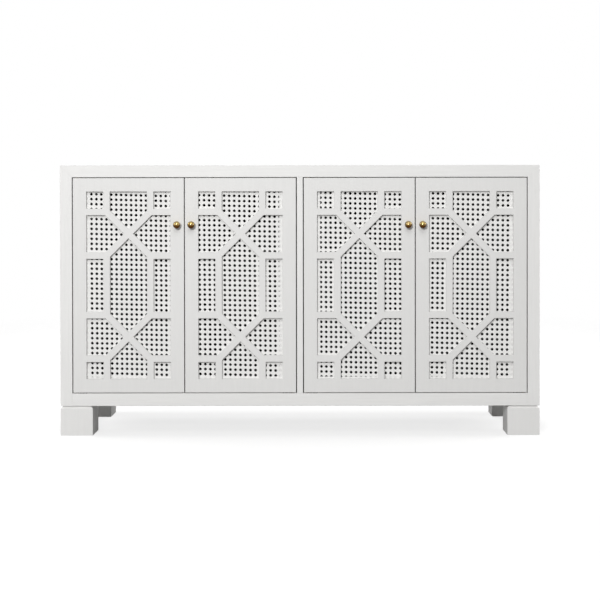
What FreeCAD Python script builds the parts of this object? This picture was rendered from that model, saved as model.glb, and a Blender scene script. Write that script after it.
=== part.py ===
# A four-door sideboard: a mitred case on block feet, with fretwork doors over cane webbing.
# Millimetres, +Z up, the doors face -Y. The origin is on the floor, at the centre of the whole box.
import FreeCAD
import Part
import Sketcher
import math
import os
import re

# Driving sizes. Each goes into a cell of the sheet under its own name.
SIZES = {
    # Case
    "case_width": 1524,
    "case_depth": 457,
    "case_height": 765,
    "panel_thickness": 38,
    "bottom_thickness": 40,
    "partition_thickness": 19,
    "back_thickness": 6,
    "back_lap": 10,
    "edge_ease": 0.8,
    # Feet
    "foot_height": 94,
    "foot_width": 102,
    "foot_setback": 0.5,
    "foot_bevel": 8,
    "foot_screw_shank": 6,
    "foot_screw_head": 12,
    "foot_screw_head_height": 4,
    "foot_screw_bite": 30,
    "foot_screw_spacing": 34,
    # Doors
    "door_gap": 3,
    "door_end_gap": 2.3,
    "door_thickness": 22,
    "door_stile": 42.5,
    "door_rail": 43.2,
    "fret_bar": 21,
    "corner_square": 54,
    "fret_thickness": 11,
    "recess_lap": 10,
    "cane_thickness": 1.6,
    "cane_play": 0.4,
    "bead_thickness": 8,
    "hinge_bead_reach": 9.5,
    "wide_hinge_bead_reach": 11,
    "lower_bead_reach": 5.5,
    "lock_bead_reach": 3,
    # Pivot hinges
    "pivot_inset": 12,
    "pivot_setback": 8,
    "leaf_length": 38,
    "leaf_width": 12,
    "leaf_thickness": 3,
    "leaf_end": 7,
    "leaf_screw_start": 14,
    "leaf_screw_spacing": 11,
    "pin_diameter": 6,
    "pin_reach": 13,
    "pin_play": 0.05,
    "bore_play": 0.6,
    "collar_diameter": 10,
    "collar_play": 0.3,
    # Countersunk wood screws in the hinges, strikes and back
    "screw_shank": 3.2,
    "screw_head": 6.4,
    "screw_length": 14,
    "screw_play": 0.15,
    "back_screw_edge": 90,
    # Ball knobs
    "knob_diameter": 23.5,
    "knob_projection": 27,
    "knob_foot_diameter": 13,
    "knob_foot_edge": 1.2,
    "knob_foot_height": 3,
    "knob_neck_diameter": 8,
    "knob_drop": 148.5,
    "knob_screw_shank": 4,
    "knob_screw_head": 8,
    "knob_screw_head_height": 2.6,
    "knob_screw_bite": 11,
    # Magnetic catches
    "catch_length": 46,
    "catch_depth": 16,
    "catch_height": 12,
    "catch_offset": 62,
    "catch_play": 0.4,
    "catch_screw_shank": 3,
    "catch_screw_head": 6,
    "catch_screw_head_height": 2,
    "catch_screw_bite": 12,
    "catch_screw_spacing": 34,
    "strike_length": 34,
    "strike_height": 14,
    "strike_thickness": 2,
    "strike_drop": 1.5,
    # Shelves
    "shelf_thickness": 19,
    "shelf_play": 1,
    "shelf_setback": 30,
    "shelf_rise": 330,
    "shelf_pin_inset": 40,
    "shelf_pin_diameter": 5,
    "shelf_pin_depth": 7,
    "shelf_pin_play": 0.15,
    "shelf_hole_pitch": 32,
    "spoon_length": 12,
    "spoon_width": 10,
    "spoon_thickness": 3,
}

# Sizes that follow from the driving ones.
DERIVED = {
    "front": "(knob_projection - case_depth) / 2",
    "rear": "front + case_depth",
    "back_face": "rear - back_thickness",
    "crown": "foot_height + case_height",
    "bay_floor": "foot_height + bottom_thickness",
    "bay_ceiling": "crown - panel_thickness",
    "bay_height": "bay_ceiling - bay_floor",
    "inner_width": "case_width - 2 * panel_thickness",
    "bay_width": "(inner_width - partition_thickness) / 2",
    "door_width": "(bay_width - 3 * door_gap) / 2",
    "door_height": "bay_height - 2 * door_end_gap",
    "door_base": "bay_floor + door_end_gap",
    "door_top": "bay_ceiling - door_end_gap",
    "door_back": "front + door_thickness",
    "opening_width": "door_width - 2 * door_stile",
    "opening_height": "door_height - 2 * door_rail",
    "opening_base": "door_base + door_rail",
    "lattice_pitch": "opening_width - 2 * corner_square - fret_bar",
    "recess_inset": "door_stile - recess_lap",
    "recess_base": "opening_base - recess_lap",
    "recess_width": "opening_width + 2 * recess_lap",
    "recess_height": "opening_height + 2 * recess_lap",
    "cane_front": "front + fret_thickness",
    "cane_back": "cane_front + cane_thickness",
    "pivot_y": "front + pivot_setback",
    "leaf_front": "pivot_y - leaf_width / 2",
    "knob_height": "door_top - knob_drop",
    "catch_front": "door_back + strike_thickness + catch_play",
    "shelf_front": "door_back + shelf_setback",
    "shelf_depth": "back_face - shelf_play - shelf_front",
    "shelf_base": "bay_floor + shelf_rise",
    "screw_head_depth": "(screw_head - screw_shank) / 2",
}

# Each door is set out from its hinge edge: turn is +1 where the door runs towards +X from there.
# The beads were cut to fit door by door, so how far they reach into the opening differs.
DOORS = [
    {"name": "left_outer", "edge": "-inner_width / 2 + door_gap", "turn": 1,
     "hinge_bead": "hinge_bead_reach", "lock_bead": "lock_bead_reach"},
    {"name": "left_inner", "edge": "-partition_thickness / 2 - door_gap", "turn": -1,
     "hinge_bead": "wide_hinge_bead_reach", "lock_bead": "0"},
    {"name": "right_inner", "edge": "partition_thickness / 2 + door_gap", "turn": 1,
     "hinge_bead": "hinge_bead_reach", "lock_bead": "0"},
    {"name": "right_outer", "edge": "inner_width / 2 - door_gap", "turn": -1,
     "hinge_bead": "hinge_bead_reach", "lock_bead": "0"},
]

AXES = {
    "+x": FreeCAD.Vector(1, 0, 0),
    "-x": FreeCAD.Vector(-1, 0, 0),
    "+y": FreeCAD.Vector(0, 1, 0),
    "-y": FreeCAD.Vector(0, -1, 0),
    "+z": FreeCAD.Vector(0, 0, 1),
    "-z": FreeCAD.Vector(0, 0, -1),
}
SAME_PLACE = 1e-4
HALF_TURN = 180
FULL_TURN = 360
CROSS_ANGLE = 45

doc = FreeCAD.newDocument("sideboard")
sheet = doc.addObject("Spreadsheet::Sheet", "sizes")
sub_parts = []


def fill_sheet():
    """Write each driving size into the sheet, with its name as the cell's alias."""
    for row, (alias, size) in enumerate(SIZES.items(), start=1):
        sheet.set(f"A{row}", alias)
        sheet.set(f"B{row}", str(size))
        sheet.setAlias(f"B{row}", alias)
    doc.recompute()


def bound(text):
    """Turn each size named in the text into a reference to its cell."""
    def refer(match):
        word = match.group()
        if word in SIZES:
            return f"sizes.{word}"
        if word in DERIVED:
            return f"({bound(DERIVED[word])})"
        return word
    return re.sub(r"[a-z_]+", refer, text)


def read(text):
    """The number that a text of named sizes comes to."""
    return float(sheet.evalExpression(bound(text)))


def place(item, corner):
    """Bind an object's place to the sheet."""
    for axis, text in zip("xyz", corner):
        item.setExpression(f"Placement.Base.{axis}", bound(text))


def box(name, size, corner, tilt=0):
    """A box with its low corner at the given place, tilted about the Y axis."""
    item = doc.addObject("Part::Box", name)
    item.Placement.Rotation = FreeCAD.Rotation(AXES["+y"], tilt)
    for side, text in zip(("Length", "Width", "Height"), size):
        item.setExpression(side, bound(text))
    place(item, corner)
    return item


def rod(name, diameter, length, start, along):
    """A cylinder that runs from a start point along an axis."""
    item = doc.addObject("Part::Cylinder", name)
    item.Placement.Rotation = FreeCAD.Rotation(AXES["+z"], AXES[along])
    item.setExpression("Radius", bound(f"({diameter}) / 2"))
    item.setExpression("Height", bound(length))
    place(item, start)
    return item


def taper(name, near_diameter, far_diameter, length, start, along):
    """A cone frustum that runs from a start point along an axis."""
    item = doc.addObject("Part::Cone", name)
    item.Placement.Rotation = FreeCAD.Rotation(AXES["+z"], AXES[along])
    item.setExpression("Radius1", bound(f"({near_diameter}) / 2"))
    item.setExpression("Radius2", bound(f"({far_diameter}) / 2"))
    item.setExpression("Height", bound(length))
    place(item, start)
    return item


def fuse(name, pieces):
    """One solid made of several pieces."""
    item = doc.addObject("Part::MultiFuse", name)
    item.Shapes = pieces
    return item


def cut(name, base, tools):
    """A base with every tool taken away."""
    item = doc.addObject("Part::Cut", name)
    item.Base = base
    item.Tool = tools[0] if len(tools) == 1 else fuse(f"{name}_tools", tools)
    return item


def gather(name, pieces):
    """Several separate solids under one name."""
    item = doc.addObject("Part::Compound", name)
    item.Links = pieces
    return item


def ease(name, base, chosen):
    """Take the sharp edge off the edges of a base that the given test picks."""
    doc.recompute()
    reach = read("edge_ease")
    item = doc.addObject("Part::Chamfer", name)
    item.Base = base
    edges = enumerate(base.Shape.Edges, start=1)
    item.Edges = [(number, reach, reach) for number, edge in edges if chosen(edge.BoundBox)]
    return item


def sub_part(label, item):
    """Keep an object as a finished piece under its own label."""
    item.Label = label
    sub_parts.append(item)
    return item


def level(low, high, text):
    """Whether a span lies at one place, which the text gives."""
    there = read(text)
    return abs(low - there) < SAME_PLACE and abs(high - there) < SAME_PLACE


def on_front(span):
    """Whether an edge lies in the plane of the front."""
    return level(span.YMin, span.YMax, "front")


def runs_along_x(span):
    """Whether an edge runs straight across the case."""
    return span.ZLength < SAME_PLACE and span.YLength < SAME_PLACE


def runs_along_z(span):
    """Whether an edge runs straight up."""
    return span.XLength < SAME_PLACE and span.YLength < SAME_PLACE


def countersunk_screw(name, start, along):
    """A wood screw with its flat head level with the start point, and the hole it goes into."""
    head = taper(f"{name}_head", "screw_head", "screw_shank", "screw_head_depth", start, along)
    shank = rod(f"{name}_shank", "screw_shank", "screw_length", start, along)
    pilot = rod(f"{name}_pilot", "screw_shank + 2 * screw_play", "screw_length + screw_play", start, along)
    return fuse(name, [head, shank]), fuse(f"{name}_hole", [head, pilot])


def pan_screw(name, kind, length, start, along, outward):
    """A screw whose flat-bottomed head sits on the start point, and the hole for its shank."""
    head = rod(f"{name}_head", f"{kind}_head", f"{kind}_head_height", start, outward)
    shank = rod(f"{name}_shank", f"{kind}_shank", length, start, along)
    pilot = rod(f"{name}_pilot", f"{kind}_shank + 2 * screw_play", f"{length} + screw_play", start, along)
    return fuse(name, [head, shank]), pilot


def wedge(name, near, far, thickness, corner, axes):
    """A block that narrows from a near face to a far one, each given as its X and Z limits."""
    item = doc.addObject("Part::Wedge", name)
    item.Placement.Rotation = FreeCAD.Rotation(*(AXES[axis] for axis in axes), "XYZ")
    limits = dict(zip(("Xmin", "Xmax", "Zmin", "Zmax"), near))
    limits.update(zip(("X2min", "X2max", "Z2min", "Z2max"), far))
    limits.update({"Ymin": "0", "Ymax": thickness})
    for limit, text in limits.items():
        item.setExpression(limit, bound(text))
    place(item, corner)
    return item


def mitred_panel(name, outer, inner, corner, axes):
    """A case panel that narrows from its outer to its inner face, for the mitred corners."""
    depth = ("0", "case_depth")
    return wedge(name, outer + depth, inner + depth, "panel_thickness", corner, axes)


def from_hinge(door, distance):
    """The X place at a distance from a door's hinge edge."""
    sign = "+" if door["turn"] > 0 else "-"
    return f"{door['edge']} {sign} ({distance})"


def door_box(door, name, size, distance, low_y, low_z):
    """A box that starts at a distance from a door's hinge edge and runs towards its lock edge."""
    low_end = distance if door["turn"] > 0 else f"{distance} + {size[0]}"
    return box(f"{door['name']}_{name}", size, (from_hinge(door, low_end), low_y, low_z))


def fret_openings():
    """The openings of a door's fretwork: its whole opening less the bars that cross it."""
    bars = []

    # Upright bars, in the top, middle and bottom rows
    columns = ("door_stile + corner_square", "door_width - door_stile - corner_square - fret_bar")
    rows = (
        ("0", "corner_square + fret_bar"),
        ("corner_square + lattice_pitch", "opening_height - corner_square - lattice_pitch"),
        ("opening_height - corner_square - fret_bar", "opening_height"),
    )
    for column in columns:
        for low, high in rows:
            size = ("fret_bar", "fret_thickness", f"{high} - ({low})")
            bars.append(box("upright_bar", size, (column, "front", f"opening_base + {low}")))

    # Level bars, in the two side columns
    starts = ("door_stile", "door_width - door_stile - corner_square - fret_bar")
    heights = (
        "corner_square",
        "corner_square + lattice_pitch",
        "opening_height - corner_square - fret_bar - lattice_pitch",
        "opening_height - corner_square - fret_bar",
    )
    for start in starts:
        for height in heights:
            size = ("corner_square + fret_bar", "fret_thickness", "fret_bar")
            bars.append(box("level_bar", size, (start, "front", f"opening_base + {height}")))

    # Crossed bars, which meet the others on their centre lines
    centre = "corner_square + (fret_bar + lattice_pitch) / 2"
    start = "(door_width - lattice_pitch) / 2"
    skew = "fret_bar / (2 * sqrt(2))"
    for cross in (f"opening_base + {centre}", f"opening_base + opening_height - ({centre})"):
        size = ("lattice_pitch * sqrt(2)", "fret_thickness", "fret_bar")
        rising = (f"{start} + {skew}", "front", f"{cross} - lattice_pitch / 2 - {skew}")
        falling = (f"{start} - {skew}", "front", f"{cross} + lattice_pitch / 2 - {skew}")
        bars.append(box("rising_bar", size, rising, -CROSS_ANGLE))
        bars.append(box("falling_bar", size, falling, CROSS_ANGLE))

    size = ("opening_width", "fret_thickness", "opening_height")
    opening = box("fret_opening", size, ("door_stile", "front", "opening_base"))
    return cut("fret_openings", opening, [fuse("fret_bars", bars)])


def fret_board():
    """The board that all four doors are cut from: pierced by the fretwork and recessed behind it."""
    size = ("door_width", "door_thickness", "door_height")
    board = box("door_board", size, ("0", "front", "door_base"))
    pierced = cut("pierced_board", board, [fret_openings()])
    eased = ease("eased_board", pierced, on_front)
    size = ("recess_width", "door_thickness - fret_thickness", "recess_height")
    recess = box("cane_recess", size, ("recess_inset", "cane_front", "recess_base"))
    return cut("fret_board", eased, [recess])


def hinge_leaf_plate(door, name, low_z):
    """The bare plate of a hinge leaf, which is also the shape of its mortise."""
    size = ("leaf_length", "leaf_width", "leaf_thickness")
    return door_box(door, name, size, "pivot_inset - leaf_end", "leaf_front", low_z)


def leaf_screws(door, name, height, along):
    """The two screws of a hinge leaf, with their holes."""
    pairs = []
    for number, step in enumerate(("leaf_screw_start", "leaf_screw_start + leaf_screw_spacing"), start=1):
        start = (from_hinge(door, f"pivot_inset + {step}"), "pivot_y", height)
        pairs.append(countersunk_screw(f"{door['name']}_{name}_screw_{number}", start, along))
    return [screw for screw, hole in pairs], [hole for screw, hole in pairs]


def case_hinges(door):
    """The hinge leaves let into the case above and below a door, each with its collar and pin."""
    name = door["name"]
    ends = (
        ("upper", "bay_ceiling", "bay_ceiling", "-z", "+z"),
        ("lower", "bay_floor", "bay_floor - leaf_thickness", "+z", "-z"),
    )
    leaves, screws, cuts = [], [], {}
    for end, face, plate_base, to_door, into_case in ends:
        pivot = (from_hinge(door, "pivot_inset"), "pivot_y", face)
        plate = hinge_leaf_plate(door, f"{end}_case_plate", plate_base)
        collar = rod(f"{name}_{end}_collar", "collar_diameter", "door_end_gap - collar_play", pivot, to_door)
        pin = rod(f"{name}_{end}_pin", "pin_diameter", "door_end_gap + pin_reach", pivot, to_door)
        leaf_fixings, holes = leaf_screws(door, f"{end}_case", face, into_case)
        solid = fuse(f"{name}_{end}_case_blank", [plate, collar, pin])
        leaves.append(cut(f"{name}_{end}_case_leaf", solid, holes))
        screws += leaf_fixings
        cuts[end] = [plate] + holes
    sub_part(f"{name}_case_leaves", gather(f"{name}_case_leaf_pair", leaves))
    return screws, cuts


def door_hinges(door):
    """The hinge leaves let into a door's top and bottom edges, bored for the pins."""
    name = door["name"]
    ends = (
        ("upper", "door_top", "door_top - leaf_thickness", "-z"),
        ("lower", "door_base", "door_base", "+z"),
    )
    leaves, screws, cuts = [], [], []
    for end, face, plate_base, into_door in ends:
        pivot = (from_hinge(door, "pivot_inset"), "pivot_y", face)
        plate = hinge_leaf_plate(door, f"{end}_door_plate", plate_base)
        eye = rod(f"{name}_{end}_eye", "pin_diameter + 2 * pin_play", "leaf_thickness", pivot, into_door)
        bore = rod(f"{name}_{end}_bore", "pin_diameter + 2 * bore_play", "pin_reach + bore_play",
                   pivot, into_door)
        leaf_fixings, holes = leaf_screws(door, f"{end}_door", face, into_door)
        leaves.append(cut(f"{name}_{end}_door_leaf", plate, [eye] + holes))
        screws += leaf_fixings
        cuts += [plate, bore] + holes
    sub_part(f"{name}_door_leaves", gather(f"{name}_door_leaf_pair", leaves))
    return screws, cuts


def catch_pair(door):
    """A magnetic catch under the case top, and the steel strike plate on the back of its door."""
    name = door["name"]
    middle = "door_width - catch_offset"

    size = ("catch_length", "catch_depth", "catch_height")
    block = door_box(door, "catch_block", size, f"{middle} - catch_length / 2", "catch_front",
                     "bay_ceiling - catch_height")
    fixings, holes = [], []
    for number, side in enumerate(("-", "+"), start=1):
        start = (from_hinge(door, f"{middle} {side} catch_screw_spacing / 2"),
                 "catch_front + catch_depth / 2", "bay_ceiling - catch_height")
        screw, hole = pan_screw(f"{name}_catch_screw_{number}", "catch_screw",
                                "catch_height + catch_screw_bite", start, "+z", "-z")
        fixings.append(screw)
        holes.append(hole)
    sub_part(f"{name}_catch", cut(f"{name}_drilled_catch", block, holes))

    size = ("strike_length", "strike_thickness", "strike_height")
    plate = door_box(door, "strike_blank", size, f"{middle} - strike_length / 2", "door_back",
                     "door_top - strike_drop - strike_height")
    start = (from_hinge(door, middle), "door_back + strike_thickness",
             "door_top - strike_drop - strike_height / 2")
    strike_screw, strike_hole = countersunk_screw(f"{name}_strike_screw", start, "-y")
    sub_part(f"{name}_strike_plate", cut(f"{name}_drilled_strike", plate, [strike_hole]))
    return fixings, holes, strike_screw, strike_hole


def knob_profile(body):
    """Half the outline of a ball knob about its own axis: foot, neck, ball and screw bore."""
    sketch = body.newObject("Sketcher::SketchObject", f"{body.Name}_profile")
    planes = {feature.Role: feature for feature in body.Origin.OriginFeatures}
    sketch.AttachmentSupport = (planes["XY_Plane"], [""])
    sketch.MapMode = "FlatFace"

    ball = read("knob_diameter / 2")
    centre = read("knob_projection") - ball
    bore = read("knob_screw_shank / 2 + screw_play")
    foot = read("knob_foot_diameter / 2")
    neck = read("knob_neck_diameter / 2")
    meeting = centre - math.sqrt(ball ** 2 - neck ** 2)
    bore_end = read("knob_screw_bite + screw_play")
    points = [
        (bore, 0), (foot, 0), (foot, read("knob_foot_edge")), (neck, read("knob_foot_height")),
        (neck, meeting), (0, centre + ball), (0, bore_end), (bore, bore_end),
    ]
    corners = [FreeCAD.Vector(x, y, 0) for x, y in points]
    ball_side = 4
    for number, corner in enumerate(corners):
        following = corners[(number + 1) % len(corners)]
        if number == ball_side:
            circle = Part.Circle(FreeCAD.Vector(0, centre, 0), AXES["+z"], ball)
            sketch.addGeometry(Part.ArcOfCircle(circle, -math.asin((centre - meeting) / ball), math.pi / 2))
        else:
            sketch.addGeometry(Part.LineSegment(corner, following))
    return sketch


def constrain_knob(sketch):
    """Tie the knob's outline together and bind its sizes to the sheet."""
    bottom, rim, slope, neck, ball, axis, bore_end, bore_wall = range(8)
    start, end, middle = 1, 2, 3
    origin, across, upright = -1, -1, -2
    chain = [bottom, rim, slope, neck, ball, axis, bore_end, bore_wall]
    for near, far in zip(chain, chain[1:] + chain[:1]):
        sketch.addConstraint(Sketcher.Constraint("Coincident", near, end, far, start))
    for line in (bottom, bore_end):
        sketch.addConstraint(Sketcher.Constraint("Horizontal", line))
    for line in (rim, neck, axis, bore_wall):
        sketch.addConstraint(Sketcher.Constraint("Vertical", line))
    sketch.addConstraint(Sketcher.Constraint("PointOnObject", bottom, start, across))
    sketch.addConstraint(Sketcher.Constraint("PointOnObject", axis, start, upright))
    sketch.addConstraint(Sketcher.Constraint("PointOnObject", ball, middle, upright))
    sizes = (
        ("DistanceX", bottom, start, "knob_screw_shank / 2 + screw_play"),
        ("DistanceX", bottom, end, "knob_foot_diameter / 2"),
        ("DistanceY", rim, end, "knob_foot_edge"),
        ("DistanceX", slope, end, "knob_neck_diameter / 2"),
        ("DistanceY", slope, end, "knob_foot_height"),
        ("DistanceY", ball, middle, "knob_projection - knob_diameter / 2"),
        ("DistanceY", axis, end, "knob_screw_bite + screw_play"),
    )
    for kind, line, point, text in sizes:
        number = sketch.addConstraint(Sketcher.Constraint(kind, origin, start, line, point, read(text)))
        sketch.setExpression(f"Constraints[{number}]", bound(text))
    number = sketch.addConstraint(Sketcher.Constraint("Radius", ball, read("knob_diameter / 2")))
    sketch.setExpression(f"Constraints[{number}]", bound("knob_diameter / 2"))


def knob(door):
    """A turned brass ball knob, held by a machine screw through the lock side of its door."""
    name = door["name"]
    across = from_hinge(door, "door_width - door_stile / 2")

    body = doc.addObject("PartDesign::Body", f"{name}_knob_body")
    sketch = knob_profile(body)
    constrain_knob(sketch)
    turned = body.newObject("PartDesign::Revolution", f"{name}_knob_turning")
    turned.Profile = sketch
    turned.ReferenceAxis = (sketch, ["V_Axis"])
    turned.Angle = FULL_TURN
    body.Placement.Rotation = FreeCAD.Rotation(AXES["+z"], HALF_TURN)
    place(body, (across, "front", "knob_height"))
    sub_part(f"{name}_knob", body)

    start = (across, "door_back", "knob_height")
    screw, hole = pan_screw(f"{name}_knob_fixing", "knob_screw", "door_thickness + knob_screw_bite",
                            start, "-y", "+y")
    sub_part(f"{name}_knob_screw", screw)
    return hole


def cane_and_beads(door):
    """The cane webbing in the recess behind the fretwork, and the four beads that hold it.

    The lower and hinge beads, and one door's lock bead, reach into the opening and back the cane there.
    """
    name, hinge_reach, lock_reach = door["name"], door["hinge_bead"], door["lock_bead"]
    size = ("recess_width - 2 * cane_play", "cane_thickness", "recess_height - 2 * cane_play")
    cane = door_box(door, "cane_sheet", size, "recess_inset + cane_play", "cane_front",
                    "recess_base + cane_play")
    sub_part(f"{name}_cane", cane)

    lower_size = ("recess_width", "bead_thickness", "recess_lap + lower_bead_reach")
    upper_size = ("recess_width", "bead_thickness", "recess_lap")
    upright_height = "opening_height - lower_bead_reach"
    upright_base = "opening_base + lower_bead_reach"
    hinge_size = (f"recess_lap + {hinge_reach}", "bead_thickness", upright_height)
    lock_size = (f"recess_lap + {lock_reach}", "bead_thickness", upright_height)
    beads = [
        door_box(door, "lower_bead", lower_size, "recess_inset", "cane_back", "recess_base"),
        door_box(door, "upper_bead", upper_size, "recess_inset", "cane_back",
                 "opening_base + opening_height"),
        door_box(door, "hinge_bead", hinge_size, "recess_inset", "cane_back", upright_base),
        door_box(door, "lock_bead", lock_size, f"door_width - door_stile - {lock_reach}", "cane_back",
                 upright_base),
    ]
    sub_part(f"{name}_cane_beads", gather(f"{name}_bead_set", beads))


def door_panel(door, board, cuts):
    """A door: the fret board at the door's place, mortised for its hinges and drilled for its fittings."""
    name = door["name"]
    copy = doc.addObject("App::Link", f"{name}_board")
    copy.LinkedObject = board
    low_end = "0" if door["turn"] > 0 else "door_width"
    place(copy, (from_hinge(door, low_end), "0", "0"))
    sub_part(f"{name}_door_panel", cut(f"{name}_fitted_board", copy, cuts))


def foot_block(name, x, y):
    """A square foot about an upright centre line, with a bevel round its top."""
    size = ("foot_width", "foot_width", "foot_height - foot_bevel")
    block = box(f"{name}_block", size, (f"{x} - foot_width / 2", f"{y} - foot_width / 2", "0"))
    whole = ("0", "foot_width")
    narrowed = ("foot_bevel", "foot_width - foot_bevel")
    corner = (f"{x} - foot_width / 2", f"{y} + foot_width / 2", "foot_height - foot_bevel")
    bevel = wedge(f"{name}_bevel", whole * 2, narrowed * 2, "foot_bevel", corner, ("+x", "+z", "-y"))
    return fuse(f"{name}_solid", [block, bevel])


def feet():
    """Four block feet with bevelled tops, each screwed on from inside the case."""
    across = "case_width / 2 - foot_setback - foot_width / 2"
    near = "front + foot_setback + foot_width / 2"
    far = "rear - foot_setback - foot_width / 2"
    places = (
        ("front_left_foot", f"-({across})", near),
        ("front_right_foot", across, near),
        ("back_left_foot", f"-({across})", far),
        ("back_right_foot", across, far),
    )
    screws, holes = [], []
    for name, x, y in places:
        foot_holes = []
        for number, side in enumerate(("-", "+"), start=1):
            start = (x, f"{y} {side} foot_screw_spacing / 2", "bay_floor")
            screw, hole = pan_screw(f"{name}_screw_{number}", "foot_screw",
                                    "bottom_thickness + foot_screw_bite", start, "-z", "+z")
            screws.append(screw)
            foot_holes.append(hole)
        sub_part(name, cut(f"{name}_drilled", foot_block(name, x, y), foot_holes))
        holes += foot_holes
    sub_part("foot_screws", gather("foot_screw_set", screws))
    return holes


def back():
    """The back panel, let into the case all round, and the screws that hold it."""
    size = ("inner_width + 2 * back_lap", "back_thickness", "bay_height + 2 * back_lap")
    corner = ("-inner_width / 2 - back_lap", "back_face", "bay_floor - back_lap")
    panel = box("back_board", size, corner)

    outer, inner = "(inner_width / 2 - back_screw_edge)", "(bay_width / 3)"
    low, high = "bay_floor + back_screw_edge", "bay_ceiling - back_screw_edge"
    edge = "(inner_width + back_lap) / 2"
    places = {
        "case_top": [(x, "bay_ceiling + back_lap / 2") for x in (f"-{outer}", f"-{inner}", inner, outer)],
        "case_bottom": [(x, "bay_floor - back_lap / 2") for x in (f"-{outer}", f"-{inner}", inner, outer)],
        "left_side": [(f"-({edge})", low), (f"-({edge})", high)],
        "right_side": [(edge, low), (edge, high)],
        "centre_partition": [("0", low), ("0", high)],
    }
    screws, holes = [], {}
    for piece, points in places.items():
        pairs = []
        for number, (x, z) in enumerate(points, start=1):
            pairs.append(countersunk_screw(f"{piece}_back_screw_{number}", (x, "rear", z), "-y"))
        screws += [screw for screw, hole in pairs]
        holes[piece] = [hole for screw, hole in pairs]
    every_hole = [hole for group in holes.values() for hole in group]
    sub_part("back_panel", cut("drilled_back_board", panel, every_hole))
    sub_part("back_screws", gather("back_screw_set", screws))
    return panel, holes


def shelves():
    """An adjustable shelf in each bay, the spoon pins that carry it and the holes for them."""
    size = ("bay_width - 2 * shelf_play", "shelf_depth", "shelf_thickness")
    for name, wall in (("left_shelf", "-inner_width / 2"), ("right_shelf", "partition_thickness / 2")):
        corner = (f"{wall} + shelf_play", "shelf_front", "shelf_base")
        sub_part(name, box(f"{name}_board", size, corner))

    walls = (
        ("left_side", "-inner_width / 2", "-x"),
        ("centre_partition", "-partition_thickness / 2", "+x"),
        ("centre_partition", "partition_thickness / 2", "-x"),
        ("right_side", "inner_width / 2", "+x"),
    )
    depths = ("shelf_front + shelf_pin_inset", "shelf_front + shelf_depth - shelf_pin_inset")
    pin_height = "shelf_base - spoon_thickness / 2"
    pins, holes = [], {"left_side": [], "centre_partition": [], "right_side": []}
    for wall, face, into in walls:
        spoon_start = face if into == "-x" else f"{face} - spoon_length"
        for y in depths:
            stem = rod("shelf_pin_stem", "shelf_pin_diameter", "shelf_pin_depth", (face, y, pin_height), into)
            spoon = box("shelf_pin_spoon", ("spoon_length", "spoon_width", "spoon_thickness"),
                        (spoon_start, f"{y} - spoon_width / 2", "shelf_base - spoon_thickness"))
            pins.append(fuse("shelf_pin", [stem, spoon]))
            for step in ("- shelf_hole_pitch", "", "+ shelf_hole_pitch"):
                holes[wall].append(rod("shelf_pin_hole", "shelf_pin_diameter + 2 * shelf_pin_play",
                                       "shelf_pin_depth + shelf_pin_play",
                                       (face, y, f"{pin_height} {step}"), into))
    sub_part("shelf_pins", gather("shelf_pin_set", pins))
    return holes


def case(back_board, holes, upper_cuts, lower_cuts):
    """The mitred top and sides, the bottom between the sides and the partition in the middle."""
    top = mitred_panel("top_blank", ("0", "case_width"), ("panel_thickness", "case_width - panel_thickness"),
                       ("-case_width / 2", "front", "crown"), ("+x", "-z", "+y"))
    top = cut("top_cut", top, [back_board] + holes["case_top"] + upper_cuts)
    sub_part("case_top", ease("top_eased", top, lambda span: runs_along_x(span) and (
        on_front(span) or level(span.ZMin, span.ZMax, "crown"))))

    heights = (("0", "case_height"), ("0", "case_height - panel_thickness"))
    sides = (
        ("left_side", ("-case_width / 2", "front", "foot_height"), ("+z", "+x", "+y")),
        ("right_side", ("case_width / 2", "rear", "foot_height"), ("+z", "-x", "-y")),
    )
    for name, corner, axes in sides:
        side = mitred_panel(f"{name}_blank", *heights, corner, axes)
        side = cut(f"{name}_cut", side, [back_board] + holes[name])
        sub_part(name, ease(f"{name}_eased", side, lambda span: runs_along_z(span) and (
            on_front(span) or level(abs(span.XMin), abs(span.XMax), "case_width / 2"))))

    bottom = box("bottom_blank", ("inner_width", "case_depth", "bottom_thickness"),
                 ("-inner_width / 2", "front", "foot_height"))
    bottom = cut("bottom_cut", bottom, [back_board] + holes["case_bottom"] + lower_cuts)
    sub_part("case_bottom", ease("bottom_eased", bottom, lambda span: runs_along_x(span) and on_front(span)))

    partition = box("partition_blank", ("partition_thickness", "case_depth - back_thickness", "bay_height"),
                    ("-partition_thickness / 2", "front", "bay_floor"))
    partition = cut("partition_cut", partition, holes["centre_partition"])
    sub_part("centre_partition", ease("partition_eased", partition,
                                      lambda span: runs_along_z(span) and on_front(span)))


def build():
    """Make every piece of the sideboard."""
    fill_sheet()
    back_board, holes = back()
    for wall, pin_holes in shelves().items():
        holes[wall] += pin_holes
    upper_cuts, lower_cuts = [], feet()
    board = fret_board()

    hinge_fixings, catch_fixings = [], []
    for door in DOORS:
        name = door["name"]
        case_screws, case_cuts = case_hinges(door)
        door_screws, door_cuts = door_hinges(door)
        fixings, catch_holes, strike_screw, strike_hole = catch_pair(door)
        knob_hole = knob(door)
        cane_and_beads(door)
        door_panel(door, board, door_cuts + [strike_hole, knob_hole])
        sub_part(f"{name}_door_screws", gather(f"{name}_door_screw_set", door_screws + [strike_screw]))
        hinge_fixings += case_screws
        catch_fixings += fixings
        upper_cuts += case_cuts["upper"] + catch_holes
        lower_cuts += case_cuts["lower"]

    case(back_board, holes, upper_cuts, lower_cuts)
    sub_part("case_hinge_screws", gather("case_hinge_screw_set", hinge_fixings))
    sub_part("catch_screws", gather("catch_screw_set", catch_fixings))
    doc.recompute()


def check():
    """Stop if any object failed or any piece has a bad shape."""
    for item in doc.Objects:
        if "Invalid" in item.State or "Error" in item.State:
            raise RuntimeError(f"{item.Label} failed: {item.State}")
    for item in sub_parts:
        if item.Shape.isNull() or not item.Shape.isValid():
            raise RuntimeError(f"{item.Label} has a bad shape")


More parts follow.
